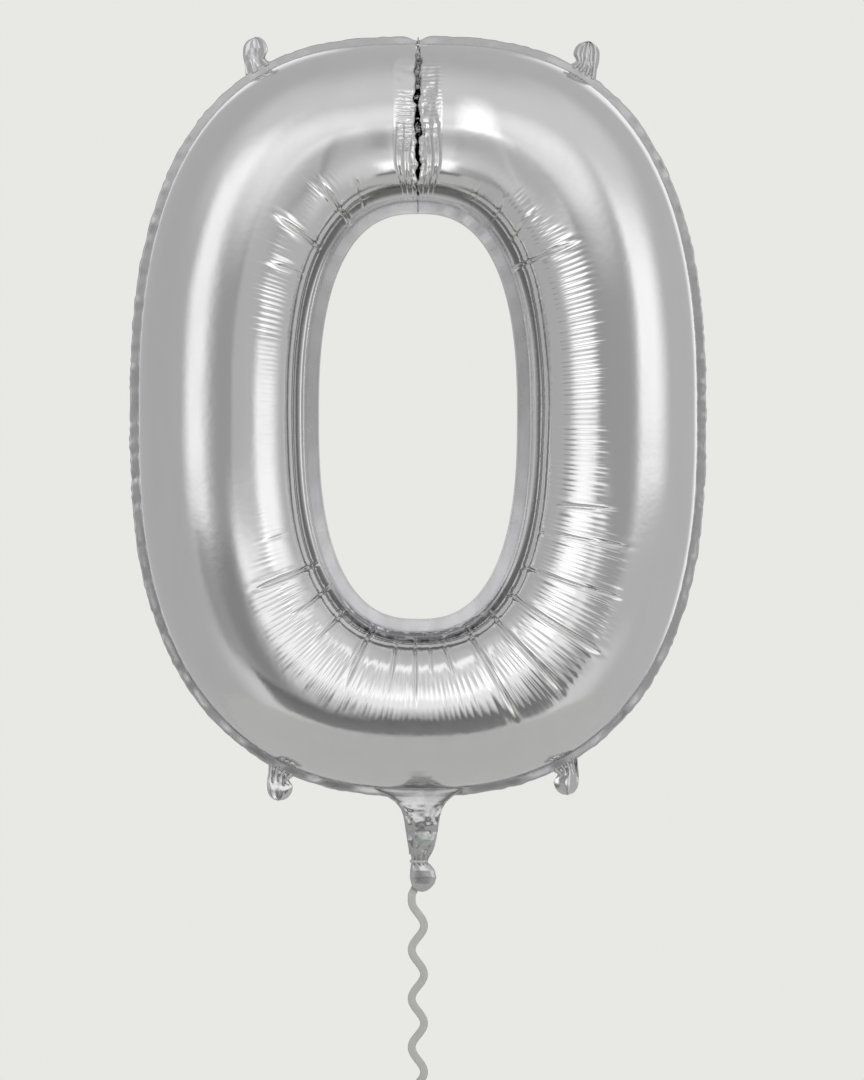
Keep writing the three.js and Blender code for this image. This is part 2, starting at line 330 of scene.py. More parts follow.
def hole_edge(turn):
    """Place on the hole's edge, turn measured from the top, and its facing."""
    s, c, n = np.sin(turn), np.cos(turn), HOLE_SQUARENESS
    q = (np.abs(s) ** n + np.abs(c) ** n) ** (-1 / n)
    facing = np.arctan2(power(q * c, n - 1) / HOLE_HALF_HEIGHT,
                        power(q * s, n - 1) / HOLE_HALF_WIDTH)
    return q * s * HOLE_HALF_WIDTH, q * c * HOLE_HALF_HEIGHT, facing


def outer_edge(facing):
    """Place on the outside edge whose outward direction is facing."""
    n = OUTER_SQUARENESS + OUTER_EGG * np.sin(facing)
    p = 1 / (n - 1)
    a = OUTER_HALF_WIDTH * 1000 * np.cos(facing)
    b = OUTER_HALF_HEIGHT * 1000 * np.sin(facing)
    scale = (np.abs(a) ** (n * p) + np.abs(b) ** (n * p)) ** (-1 / n)
    return (OUTER_HALF_WIDTH * power(a, p) * scale,
            OUTER_HALF_HEIGHT * power(b, p) * scale)


def crossing(turn):
    """Start on the hole's edge, direction across the film, and its width."""
    hx, hz, facing = hole_edge(turn)
    ox, oz = outer_edge(facing)
    width = np.hypot(ox - hx, oz - hz)
    return hx, hz, (ox - hx) / width, (oz - hz) / width, width


def tube_place(turn, u):
    """Middle of the skin: u 0 at the hole's weld, 1 at the outer weld."""
    hx, hz, cx, cz, width = crossing(turn)
    half = (width - OUTER_BORDER - HOLE_BORDER) / 2
    out = HOLE_BORDER + half * (1 - np.cos(np.pi * u))
    return hx + cx * out, hz + cz * out


# %% Length of the puckered crown
fine_turns = np.linspace(0, 2 * np.pi, 6001)
crown_x, crown_z = tube_place(fine_turns, 0.42)
crown_along = np.concatenate(
    [[0], np.cumsum(np.hypot(np.diff(crown_x), np.diff(crown_z)))])
CROWN_LENGTH = float(crown_along[-1])
print("length of the puckered crown", round(CROWN_LENGTH, 3), "m")

# %% [markdown]
# Wrinkles are placed by where they are on the nought. This helper turns a
# place (x, z) on the front into the distance s along the crown and the share u
# across the film, so that a fold can be given by its two ends.

# %% Finding a place on the film
look_turns = np.linspace(0, 2 * np.pi, 1441)
look_u = np.linspace(0.02, 0.98, 97)
look_x, look_z = tube_place(look_turns[:, None], look_u[None, :])
look_s = np.interp(look_turns, fine_turns, crown_along)


def film_place(x, z):
    """The distance s and the share u of the place x, z on the front."""
    near = np.argmin((look_x - x) ** 2 + (look_z - z) ** 2)
    i, j = np.unravel_index(near, look_x.shape)
    return look_s[i], look_u[j]


# %% [markdown]
# The folds. Where the tube turns tightly the spare film gathers into single
# deep folds about 45 mm apart, square to the hole's edge, each one a sharp
# valley. They are listed by the outer and the inner end, in metres, with a
# depth in millimetres. The film between two of them stands a little proud.

# %% Deep folds
DEEP_FOLDS = (
    # outer x, outer z, inner x, inner z, depth in mm
    (-0.1593, 0.2222, -0.1100, 0.1850, 2.2),
    (-0.1716, 0.1721, -0.1286, 0.1560, 1.4),
    (-0.1092, 0.2626, -0.0760, 0.2120, 1.8),
    (-0.0688, 0.2643, -0.0600, 0.2340, 1.1),
    (0.0700, 0.2560, 0.0620, 0.2380, 0.9),
    (0.1000, 0.2440, 0.0840, 0.2200, 1.2),
    (0.1350, 0.2330, 0.1010, 0.1950, 1.2),
    (0.1816, 0.1916, 0.1060, 0.1660, 2.2),
    (0.2270, -0.1060, 0.1560, -0.1030, 1.6),
    (0.2370, -0.1450, 0.1340, -0.1320, 1.2),
    (0.2300, -0.2040, 0.1160, -0.1700, 1.6),
    (0.2070, -0.2690, 0.1000, -0.1980, 2.0),
    (0.1590, -0.3110, 0.0814, -0.2200, 2.0),
    (0.1105, -0.3400, 0.0556, -0.2380, 2.3),
    (0.0410, -0.3010, 0.0280, -0.2500, 1.2),
    (0.0140, -0.2960, 0.0130, -0.2520, 0.9),
    (-0.0010, -0.3200, -0.0040, -0.2500, 1.4),
    (-0.0300, -0.3070, -0.0240, -0.2500, 1.4),
    (-0.0818, -0.3045, -0.0494, -0.2366, 2.2),
    (-0.1170, -0.2540, -0.0785, -0.2190, 1.6),
    (-0.1460, -0.2300, -0.0960, -0.1900, 1.6),
    (-0.1868, -0.1962, -0.1108, -0.1650, 2.2),
    (-0.1720, -0.1420, -0.1480, -0.1330, 0.7),
)


VALLEY_WIDTH, BANK_AT, BANK_WIDTH, BANK_SHARE = 0.0016, 0.0055, 0.0035, 0.35


def fold_valleys(s, u, cut):
    """Depth in metres, below zero, of the deep folds at s, u."""
    depth = np.zeros_like(s)
    for n, (x1, z1, x2, z2, mm) in enumerate(DEEP_FOLDS):
        s1, u1 = film_place(x1, z1)
        s2, u2 = film_place(x2, z2)
        line = s2 + (s1 - s2) * (u - u2) / (u1 - u2)
        line = line + 0.0012 * np.sin(9 * u + n)
        reach = soft_step(u, u2 - 0.05, u2 + 0.05) * (
            1 - soft_step(u, u1 - 0.09, u1 + 0.015))
        away = np.abs(s - line)
        valley = np.exp(-away / VALLEY_WIDTH) - BANK_SHARE * np.exp(
            -((away - BANK_AT) / BANK_WIDTH) ** 2)
        depth -= cut * mm * 0.001 * reach * valley
    return depth


# %% [markdown]
# The fine wrinkles are a comb of small round ridges with sharp valleys, about
# 5.6 mm apart, each with its own height and its own two ends. They are strong
# on the right of the hole, stop at an even arc around the bottom, and are few
# on the left. The comb is described by a table around the nought: place of its
# outer end, how far in it starts, and its height.

# %% Combs of fine wrinkles
COMB = (
    # x, z of the outer end, u of the inner end, height in mm, in order
    (0.0400, 0.2800, 0.30, 0.00),
    (0.1150, 0.2560, 0.26, 0.05),
    (0.1280, 0.2480, 0.24, 0.32),
    (0.1540, 0.2120, 0.22, 0.36),
    (0.1760, 0.2010, 0.22, 0.42),
    (0.1900, 0.1800, 0.20, 0.50),
    (0.2040, 0.1400, 0.20, 0.46),
    (0.2120, 0.0800, 0.20, 0.42),
    (0.2130, 0.0000, 0.20, 0.38),
    (0.2130, -0.0900, 0.20, 0.42),
    (0.2260, -0.1200, 0.18, 0.40),
    (0.2310, -0.1700, 0.20, 0.42),
    (0.2250, -0.2200, 0.24, 0.42),
    (0.2040, -0.2720, 0.27, 0.42),
    (0.1600, -0.3150, 0.29, 0.46),
    (0.1120, -0.3400, 0.31, 0.46),
    (0.0500, -0.3480, 0.33, 0.42),
    (0.0000, -0.3480, 0.34, 0.42),
    (-0.0450, -0.3430, 0.33, 0.42),
    (-0.0950, -0.3280, 0.31, 0.46),
    (-0.1400, -0.2920, 0.29, 0.46),
    (-0.1720, -0.2500, 0.27, 0.46),
    (-0.1860, -0.2050, 0.24, 0.42),
    (-0.1880, -0.1900, 0.26, 0.10),
    (-0.1800, -0.1300, 0.26, 0.12),
    (-0.1780, -0.0950, 0.26, 0.06),
    (-0.1780, 0.0000, 0.26, 0.03),
    (-0.1860, 0.0850, 0.22, 0.05),
    (-0.1900, 0.0950, 0.20, 0.46),
    (-0.1880, 0.1380, 0.20, 0.50),
    (-0.1840, 0.1520, 0.22, 0.12),
    (-0.1750, 0.2080, 0.24, 0.14),
    (-0.1400, 0.2450, 0.28, 0.05),
    (-0.1280, 0.2560, 0.30, 0.34),
    (-0.1120, 0.2700, 0.30, 0.30),
    (-0.1000, 0.2780, 0.30, 0.02),
    (-0.0400, 0.2900, 0.30, 0.00),
)
PITCH = 0.0056
comb_s, comb_out = np.array([film_place(x, z) for x, z, _, _ in COMB]).T
comb_in = np.array([row[2] for row in COMB])
comb_high = np.array([row[3] for row in COMB]) * 0.001
print("fine wrinkles round the nought:", round(CROWN_LENGTH / PITCH))


# %% Ridges of the combs
def comb_ridges(s, u, seed):
    """Height in metres of the fine wrinkles at s, u."""
    chance = np.random.RandomState(seed)
    phase = s / PITCH + 1.3 * waver(s, 0.05, seed) + 0.25 * waver(
        s, 0.012, seed + 1) + 0.10 * waver(u, 0.06, seed + 2)
    number = np.floor(phase).astype(int)
    part = phase - number
    high = chance.uniform(0.45, 1.25, 2048)[number % 2048]
    jog_in = chance.uniform(-0.035, 0.035, 2048)[number % 2048]
    jog_out = chance.uniform(-0.022, 0.010, 2048)[number % 2048]
    tall = np.interp(s, comb_s, comb_high)
    start = np.interp(s, comb_s, comb_in) + jog_in
    stop = np.interp(s, comb_s, comb_out) + jog_out
    reach = soft_step(u, start - 0.02, start + 0.05) * (
        1 - soft_step(u, stop - 0.060, stop + 0.008))
    ridge = np.abs(np.sin(np.pi * part)) ** 0.85
    return tall * high * reach * ridge


# %% [markdown]
# Nearer the hole the film turns down steeply into its weld, and there it has
# long creases that run round the hole, crossed by short ticks. The outer weld
# only has small scallops, as the film there is stretched. Very low, wide hills
# keep the big smooth lobes from looking machined. All heights are in metres.

# %% Creases round the hole, ticks, scallops and hills
def crease_lines(s, u, z, seed):
    """Grooves and a lip that run round the hole beside its weld."""
    shift = 0.004 * waver(s, 0.08, seed)
    groove = np.exp(-((u - 0.163 - shift) / 0.0075) ** 2)
    second = np.exp(-((u - 0.200 - 1.4 * shift) / 0.006) ** 2)
    lip = np.exp(-((u - 0.181 - 1.2 * shift) / 0.008) ** 2)
    low = np.exp(-((u - 0.070) / 0.022) ** 2)
    slack = 1 - soft_step(z, -0.240, -0.170)
    return (-0.0011 * groove - 0.0005 * second + 0.0006 * lip
            - (0.0014 + 0.0008 * slack) * low)


TICK_PITCH, SCALLOP_PITCH = 0.0058, 0.0068


def near_ticks(s, u, amount, seed):
    """Short ticks that cross those grooves."""
    phase = s / TICK_PITCH + 1.1 * waver(s, 0.04, seed)
    number = np.floor(phase).astype(int)
    size = np.random.RandomState(seed + 3).uniform(0.2, 1.2, 2048)
    ridge = np.abs(np.sin(np.pi * phase)) * size[number % 2048]
    place = np.exp(-((u - 0.165) / 0.028) ** 2) + 0.7 * np.exp(
        -((u - 0.05) / 0.04) ** 2)
    return 0.00050 * amount * ridge * place


def edge_scallops(s, u, seed):
    """Small scallops where the skin meets the outer weld."""
    phase = s / SCALLOP_PITCH + 1.5 * waver(s, 0.06, seed)
    size = 0.4 + 0.6 * np.abs(waver(s, 0.018, seed + 5))
    return 0.00045 * size * np.abs(np.sin(np.pi * phase)) * soft_step(
        u, 0.91, 0.985)


def low_hills(x, z, seed):
    """Very low, wide swells of the smooth lobes."""
    return 0.0005 * hills(x, z, 0.11, seed) + 0.00022 * hills(
        x, z, 0.045, seed + 1)


# %% [markdown]
# At the top the two ends of the tube are welded to each other. Each end closes
# like the end of a pillow: it slopes down a little, turns over a rounded
# ridge, and drops to the weld between crinkled walls.

# %% Shape of the two pillow ends at the top
RIDGE_AT, RIDGE_AT_TOP, RIDGE_IN_BELOW = 0.0270, 0.0080, 0.009
LOBE_REACH, LOBE_SLOPE = 0.110, 0.15
WALL_TOP, WALL_RISE, WALL_CURVE = 0.71, 0.14, 1.3
SLIT_WIDTH, SLIT_DEEP, SLIT_VARIES = 0.14, 0.40, 0.24
ZIGZAG = 0.0017


def end_closing(x, z):
    """Share of the full depth near the top weld, and the place inward:
    0 at the weld and 1 at the ridge."""
    ridge = RIDGE_AT - (RIDGE_AT - RIDGE_AT_TOP) * soft_step(z, 0.385, 0.432)
    ridge = ridge - RIDGE_IN_BELOW * (1 - soft_step(z, 0.243, 0.285))
    zigzag = ZIGZAG * waver(z, 0.0055, 451) * soft_step(z, 0.24, 0.26)
    zigzag = zigzag * (1 - soft_step(np.abs(x) / ridge, 0.15, 0.45))
    inward = np.clip(np.abs(x - zigzag) / ridge, 0, 1)
    slit = soft_step(inward, 0.0, SLIT_WIDTH)
    deep = SLIT_DEEP + SLIT_VARIES * np.clip(waver(z, 0.0045, 452), -1, 1)
    wall = WALL_TOP - deep * (1 - slit) + WALL_RISE * inward ** WALL_CURVE
    slope = LOBE_SLOPE * soft_step(np.abs(x), ridge * 0.9, LOBE_REACH)
    return np.where(z > 0, wall + slope, 1.0), inward


def end_crinkles(x, z, inward, seed):
    """Crinkles in metres on the walls of the pillow ends."""
    on_wall = (1 - soft_step(inward, 0.86, 1.0)) * (z > 0)
    streaks = np.sin(2 * np.pi * (3.1 * inward + 0.25 * waver(z, 0.04, seed)))
    lower = 1 - soft_step(z, 0.300, 0.335)
    ripples = np.abs(np.sin(np.pi * (z / 0.0092 + 0.4 * waver(
        z, 0.02, seed + 1))))
    upper = soft_step(z, 0.292, 0.330) * np.where(x > 0, 1.0, 0.5)
    rough = hills(x, z, 0.0065, seed + 2) + 0.6 * hills(
        x, z, 0.0032, seed + 3)
    near_weld = 1 - soft_step(inward, 0.10, 0.40)
    return on_wall * (0.0014 * streaks * lower + 0.0011 * ripples * upper
                      + 0.0011 * rough * (0.40 + 1.5 * near_weld))


# %% [markdown]
# Now the two big films. Each skin runs once round the nought, with a sample
# about every millimetre along it so that a 5.6 mm wrinkle stays round, and
# more samples across where the creases are. Across the film the wall is a
# round tube that is a little fuller on the side of the hole.

# %% Depth across the film
INNER_FULLNESS = 2.4
BROW_AT, BROW_WIDTH, BROW_HEIGHT = 0.46, 0.05, 0.013


def spread(u):
    """More samples across the creased inner half than on the smooth side."""
    knots = np.array([0, 0.34, 0.66, 1.0])
    return np.interp(u, knots, [0, 0.22, 0.50, 1.0])


def section(u):
    """Share of the depth across the film: a round tube, fuller inside."""
    from_crown = np.abs(np.cos(np.pi * u))
    inner = (1 - from_crown ** INNER_FULLNESS) ** (1 / INNER_FULLNESS)
    brow = BROW_HEIGHT * np.exp(-((u - BROW_AT) / BROW_WIDTH) ** 2)
    return np.where(u < 0.5, inner, np.sin(np.pi * u)) + brow


# %% [markdown]
# All the wrinkles of a skin are added up into one push. It is how far each
# point of the smooth tube moves along the film's own outward direction. The
# rear film has the same kinds of wrinkle, mirrored and weaker, from its own
# seeds.

# %% Every wrinkle of a skin
def wrinkles(s, place_s, x, z, u, inward, seed, cut):
    """The push in metres; place_s is s as it is counted on the front."""
    open_tube = soft_step(np.abs(x), 0.030, 0.075) + (z < 0)
    open_tube = np.clip(open_tube, 0, 1)
    ticks = np.interp(place_s, comb_s, 0.25 + comb_high / 0.0005)
    push = (comb_ridges(place_s, u, seed) * cut
            + fold_valleys(place_s, u, cut)
            + crease_lines(s, u, z, seed + 40)
            + near_ticks(s, u, ticks, seed + 50)) * open_tube
    push += edge_scallops(s, u, seed + 60)
    push += low_hills(x, z, seed + 70) * np.sin(np.pi * u)
    push += end_crinkles(x, z, inward, seed + 80) * np.sin(np.pi * u)
    push *= soft_step(u, -0.004, 0.02) * (1 - 0.7 * soft_step(u, 0.985, 1.0))
    return push


# %% Front and rear film
FRONT_ALONG, FRONT_ACROSS, FRONT_SEED, FRONT_CUT = 1760, 100, 11, 1.25
REAR_ALONG, REAR_ACROSS, REAR_SEED, REAR_CUT = 1300, 74, 211, 0.9
SEAM_GAP, SEAM_MARGIN = 0.0001, 0.00015


def skin(side, mirror, seed, cut):
    """side -1 is the front film, 1 is the rear film."""
    def bend(v, u):
        rows = int(round(len(v) / len(np.unique(np.round(u, 6)))))
        columns = len(v) // rows
        order = np.lexsort((u, v))
        u2 = spread(u[order].reshape(rows, columns))
        s2 = v[order].reshape(rows, columns) * CROWN_LENGTH
        turn = np.interp(s2, crown_along, fine_turns)
        x, z = tube_place(turn, u2)
        share, inward = end_closing(x, z)
        height = SEAM_MARGIN + TUBE_HALF_DEPTH * share * section(u2)
        base = np.stack([x, side * height, z], -1)
        run, reach = np.gradient(base, axis=0), np.gradient(base, axis=1)
        run[0] = run[-1] = (base[1] - base[-2]) / 2
        outward = np.cross(run, reach)
        outward /= np.linalg.norm(outward, axis=2)[..., None] + 1e-12
        flip = np.sign((outward[..., 1] * side).mean())
        place_s = s2 if mirror > 0 else CROWN_LENGTH - s2
        push = wrinkles(s2, place_s, x, z, u2, inward, seed, cut)
        place = base + outward * (flip * push)[..., None]
        place[..., 1] = side * np.maximum(side * place[..., 1], SEAM_GAP)
        place[-1] = place[0]
        result = np.empty((len(v), 3))
        result[order] = place.reshape(-1, 3)
        return result
    return bend


front_foil = film("front_foil", FRONT_ALONG, FRONT_ACROSS,
                  skin(-1, 1, FRONT_SEED, FRONT_CUT), closed=True)
rear_foil = film("rear_foil", REAR_ALONG, REAR_ACROSS,
                 skin(1, -1, REAR_SEED, REAR_CUT), closed=True)
for piece, node in ((front_foil, "front_foil_panel"),
                    (rear_foil, "rear_foil_panel")):
    # A flat floor at the seam closes each half, out of sight in the gas.
    close_rims(piece, bmesh.ops.bridge_loops)
    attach(piece, "balloon")
    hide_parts(node)

# %% [markdown]
# The welded borders. Heat has fused the two films into one flat, duller band
# around the hole and around the outside. Each is a ring of film with a real
# thickness. The outer one was cut by a hot wire, so it waves and its free edge
# is faintly scalloped. The inner one is drawn smooth, with a fine rolled lip.

# %% Welded borders
BORDER_FILM, TUCKED_IN = 0.0007, 0.0012
OUTER_LENGTH = 2.4  # about how long the outer edge is
NOTCH_DEPTH, NOTCH_WIDTH = 0.0045, 0.0016


def hole_band(v, u):
    """The border round the hole, gathered a little beside the top weld."""
    turn = np.interp(v * CROWN_LENGTH, crown_along, fine_turns)
    hx, hz, cx, cz, _ = crossing(turn)
    out = u * (HOLE_BORDER + TUCKED_IN)
    s = v * CROWN_LENGTH
    gathers = np.exp(-((hx - 0.045) / 0.03) ** 2) * (hz > 0)
    wave = 0.0003 * np.sin(2 * np.pi * v * 37) * (0.3 + gathers)
    wave = wave + 0.0005 * gathers * np.abs(np.sin(np.pi * s / 0.0045))
    lip = -0.0009 * np.exp(-((out - 0.0006) / 0.0006) ** 2)
    settle = 1 - soft_step(u, 0.75, 1.0)
    y = (wave * soft_step(u, 0, 0.2) + lip) * settle
    return np.stack([hx + cx * out, y, hz + cz * out], -1)


def outer_band(v, u):
    """The outer border, scalloped, with a notch at the top weld."""
    turn = np.interp(v * CROWN_LENGTH, crown_along, fine_turns)
    hx, hz, cx, cz, width = crossing(turn)
    s = v * OUTER_LENGTH
    scallop = 0.0006 * waver(s, 0.006, 301) + 0.0005 * waver(s, 0.017, 302)
    notch = NOTCH_DEPTH * np.exp(-(hx / NOTCH_WIDTH) ** 2) * (hz > 0)
    out = width - (OUTER_BORDER + TUCKED_IN) * (1 - u) + (
        scallop - notch) * u
    wave = 0.0009 * waver(s, 0.011, 303) + 0.0007 * waver(s, 0.05, 304)
    y = wave * soft_step(u, 0.15, 0.8)
    return np.stack([hx + cx * out, y, hz + cz * out], -1)


hole_border = film("hole_weld_band", 900, 10, hole_band, closed=True)
outer_border = film("outer_weld_band", 1500, 6, outer_band, closed=True)
for piece, node in ((hole_border, "hole_sealed_border"),
                    (outer_border, "outer_sealed_border")):
    face_towards(piece, (0, -1, 0))
    thicken(piece, BORDER_FILM)
    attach(piece, "balloon")
    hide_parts(node)

# %% [markdown]
# The cross weld at the top is a narrow strip that was crimped by the sealing
# bar, so it zigzags. It shows as a dark line with sparkles between the two
# pillow ends. It is one strip from front to rear, and an edge of it stands in
# the valley on each face.

# %% Cross weld at the top
WELD_LOW, WELD_HIGH, WELD_FILM = 0.2315, 0.4285, 0.0006


def weld_strip(v, u):
    """A strip from low to high v and from front to rear u."""
    z = WELD_LOW + (WELD_HIGH - WELD_LOW) * v
    bow = np.sin(np.pi * np.clip(v, 0.0, 1.0)) ** 0.6
    depth = (2 * u - 1) * (0.0015 + 0.0085 * bow)
    zigzag = 0.0019 * waver(z, 0.0042, 401) + 0.0009 * waver(z, 0.002, 402)
    lean = 0.0012 * waver(z + 3 * u, 0.005, 403)
    x = (zigzag + lean) * bow + 0.0004 * np.sin(2 * np.pi * u * 3)
    return np.stack([x, depth, z], -1)


cross_weld = film("top_cross_weld", 240, 12, weld_strip)
thicken(cross_weld, WELD_FILM)
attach(cross_weld, "balloon")
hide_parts("top_cross_seal")

# %% [markdown]
# The four hanging tabs are ears of the welded border, where a thread or tape
# would hold the balloon to a wall. Each is one small piece of film with a
# rounded end, flared and pleated at its root, and each has folded its own way:
# some stand up, and some hang. A tab is bent from a grid by a width, a lean
# and a set of pleats, and starts at its own place on the outer edge.

# %% Outline of a tab
TAB_LENGTH, TAB_ROOT, TAB_NECK, TAB_ROUND = 0.034, 0.0170, 0.0130, 0.0150
TAB_FILM, TAB_OVERLAP = 0.0005, 0.0030


def tab_half_width(b):
    """Half width of the flat tab at b, 0 at its root and 1 at its end."""
    run = b * TAB_LENGTH
    flare = TAB_NECK + (TAB_ROOT - TAB_NECK) * (1 - soft_step(run, 0, 0.010))
    swell = TAB_NECK + (TAB_ROUND - TAB_NECK) * soft_step(run, 0.009, 0.019)
    body = np.where(run < 0.009, flare, swell)
    tip = np.clip((run - (TAB_LENGTH - TAB_ROUND)) / TAB_ROUND, 0, 1)
    return body * np.sqrt(np.clip(1 - tip ** 2.2, 0, 1))


# %% Bending a tab
def tab_piece(name, facing_degrees, lean_degrees, pleats, cup, roll, twist,
              flutes):
    """A tab on the outer edge.

    pleats and flutes are (how many, depth), at the root and in the body; cup
    is how hollow it is, roll is how far one side rolls over, and twist shifts
    the pleats."""
    facing = math.radians(facing_degrees)
    rx, rz = outer_edge(np.array(facing))
    along = np.array([math.cos(facing), 0, math.sin(facing)])
    aside = np.array([math.sin(facing), 0, -math.cos(facing)])
    lean = math.radians(lean_degrees)

    def bend(v, u):
        a, b = 2 * u - 1, v
        half = tab_half_width(b)
        turned = lean * soft_step(b, 0.05, 0.6)
        way = (along[None, :] * np.cos(turned)[:, None]
               + aside[None, :] * np.sin(turned)[:, None])
        side = (aside[None, :] * np.cos(turned)[:, None]
                - along[None, :] * np.sin(turned)[:, None])
        root = (1 - soft_step(b, 0.10, 0.50))
        y = pleats[1] * root * np.sin(np.pi * pleats[0] * a + twist)
        y = y + cup * (1 - a * a) * soft_step(b, 0.1, 0.7)
        y = y - 0.006 * roll * soft_step(a * np.sign(roll), 0.1, 0.9) * (
            soft_step(b, 0.1, 0.5))
        y = y + flutes[1] * np.cos(np.pi * flutes[0] * a) * soft_step(
            b, 0.15, 0.5)
        y = y + 0.0004 * waver(a * 0.02 + b * 0.006, 0.006, int(
            abs(facing_degrees) * 10))
        reach = TAB_LENGTH * b - TAB_OVERLAP * (1 - b)
        fold_in = 1 - 0.15 * soft_step(a * np.sign(roll), 0.3, 1) * abs(roll)
        place = (np.array([float(rx), 0, float(rz)])[None, :]
                 + way * reach[:, None] + side * (half * a * fold_in)[:, None])
        place[:, 1] += y
        return place

    piece = film(name, 44, 44, bend)
    face_towards(piece, (0, -1, 0))
    thicken(piece, TAB_FILM)
    return piece


# %% Hanging tabs
TABS = (
    # name, facing, lean, pleats, cup, roll, twist, flutes
    ("upper_left_tab", 119.5, 24, (2.0, 0.0022), -0.0045, 0.9, 0.4,
     (0.6, 0.0010)),
    ("upper_right_tab", 58.5, -22, (4.2, 0.0026), -0.0010, 0.2, 1.2,
     (3.0, -0.0018)),
    ("lower_left_tab", 243.5, -24, (4.0, 0.0026), -0.0060, 0.7, 2.0,
     (1.0, 0.0006)),
    ("lower_right_tab", 299.5, 27, (4.6, 0.0028), -0.0055, -0.8, 0.2,
     (1.6, -0.0012)),
)
tabs = []
for name, facing_degrees, *bends in TABS:
    tab = tab_piece(name + "_film", facing_degrees, *bends)
    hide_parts(name)
    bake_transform(tab)
    tabs.append(tab)

# %% [markdown]
# The inflation tail. Both films run on below the bottom edge as a narrow neck,
# which the gas passed through, and which was then gathered and tied. It is a
# flattened tube of film, crumpled hard above the tie, with an oval mark where
# the sealing bar pressed it. Below the tie its end puffs out a little.

# %% Sections of the tail and its end
TAIL_SHAPE = np.array([
    # z, half width, middle x, half depth, in mm
    (-420.6, 52.0, 0.6, 1.5),
    (-424.5, 46.0, 1.0, 2.2),
    (-430.0, 37.0, 2.0, 2.7),
    (-436.0, 29.0, 3.2, 3.6),
    (-444.0, 23.4, 3.9, 5.0),
    (-452.0, 20.8, 4.2, 6.4),
    (-470.0, 18.0, 4.2, 7.0),
    (-486.0, 15.2, 3.8, 6.4),
    (-493.0, 12.8, 3.4, 5.2),
    (-498.5, 10.2, 2.6, 4.4),
    (-503.0, 9.4, 1.4, 4.0),
    (-507.5, 10.0, 2.4, 4.2),
]) * 0.001
END_SHAPE = np.array([
    (-503.5, 8.4, 1.6, 3.4),
    (-507.0, 11.4, 3.2, 4.4),
    (-513.0, 14.0, 5.0, 5.6),
    (-521.0, 15.2, 5.8, 6.2),
    (-528.5, 13.2, 5.4, 5.6),
    (-533.6, 9.4, 4.8, 4.0),
    (-536.8, 4.6, 4.6, 2.0),
    (-537.8, 0.1, 4.4, 0.05),
]) * 0.001
print("tail from its overlap on the nought to its end:",
      round(float(TAIL_SHAPE[0, 0] - END_SHAPE[-1, 0]), 4), "m")


# %% [markdown]
# Both pieces are lofts: a grid is rolled into a flattened tube whose width,
# depth and middle follow the table, and it is then crumpled and pleated by an
# amount that changes on the way down. The creases are laid out as if the tube
# had one size all the way, so that they don't shear where it narrows.

# %% Lofting a crumpled tube
CREASE_RADIUS = 0.018
ROUND_X, ROUND_Y = 0.85, 0.8


def loft(shape, crumple, seed):
    """Bends a grid into a flattened tube that follows a table of sections."""
    run = np.linspace(0, 1, len(shape))

    def bend(v, u):
        z, half, mid, deep = (np.interp(v, run, shape[:, k])
                              for k in range(4))
        turn = 2 * np.pi * u
        c, s = np.cos(turn), np.sin(turn)
        x = mid + half * power(c, ROUND_X)
        y = deep * power(s, ROUND_Y)
        arc = CREASE_RADIUS * turn
        rough = (hills(arc, z, 0.0100, seed) + 0.5 * hills(
            arc + 0.7, z, 0.0052, seed + 1))
        pleat = waver(arc + 0.06 * z, 0.0042, seed + 2)
        amount, pleated = crumple(z)
        push = 0.001 * (amount * rough + pleated * pleat)
        push = push * soft_step(np.abs(s), 0.0, 0.35)
        seam = np.isclose(u, 0) | np.isclose(u, 1)
        push = np.where(seam, 0, push)
        return np.stack([x + 0.25 * push * c, y + push * np.sign(s), z], -1)
    return bend


def tail_crumple(z):
    """How crumpled and how pleated the tail is at height z, in mm."""
    middle = soft_step(z, -0.496, -0.488) * (1 - soft_step(z, -0.446, -0.436))
    waist = soft_step(-z, 0.486, 0.498)
    return 1.6 * middle + 0.12, 0.7 * waist + 0.1 * middle


def end_crumple(z):
    """The same for its end."""
    return 0.15 + 0.3 * soft_step(z, -0.512, -0.504), 0.8 * soft_step(
        z, -0.514, -0.505)


# %% Tail and its end
tail = film("tail_neck_film", 130, 120, loft(TAIL_SHAPE, tail_crumple, 501),
            tube=True)
tail_end = film("tail_end_film", 70, 80, loft(END_SHAPE, end_crumple, 521),
                tube=True)
for piece in (tail, tail_end):
    close_rims(piece, bmesh.ops.holes_fill, sides=0)
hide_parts("tail_front_film", "tail_rear_film", "tail_gathered_waist")
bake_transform(tail)
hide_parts("tail_mouth")
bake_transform(tail_end)

# %% [markdown]
# Materials. One small function adds a node, sets it and links it. Colours are
# given as the usual hex values and turned linear once.

# %% Colours and nodes
def linear(hex_colour):
    """A hex sRGB colour as linear red, green, blue and alpha."""
    values = [int(hex_colour[i:i + 2], 16) / 255 for i in (1, 3, 5)]
    return [v / 12.92 if v <= 0.04045 else ((v + 0.055) / 1.055) ** 2.4
            for v in values] + [1.0]


def add(tree, kind, settings=None, **inputs):
    """Adds a node; an input is a value, or (node, output) to link from."""
    node = tree.nodes.new(kind)
    for key, value in (settings or {}).items():
        setattr(node, key, value)
    for key, value in inputs.items():
        socket = node.inputs[int(key[2:]) if key.startswith("in") and key[
            2:].isdigit() else key.replace("_", " ")]
        if isinstance(value, tuple) and len(value) == 2 and hasattr(
                value[0], "outputs"):
            tree.links.new(value[0].outputs[value[1]], socket)
        else:
            socket.default_value = value
    return node


def new_material(name):
    material = bpy.data.materials.new(name)
    material.use_nodes = True
    tree = material.node_tree
    return material, tree, tree.nodes["Principled BSDF"]


def wear(piece, material):
    piece.data.materials.clear()
    piece.data.materials.append(material)


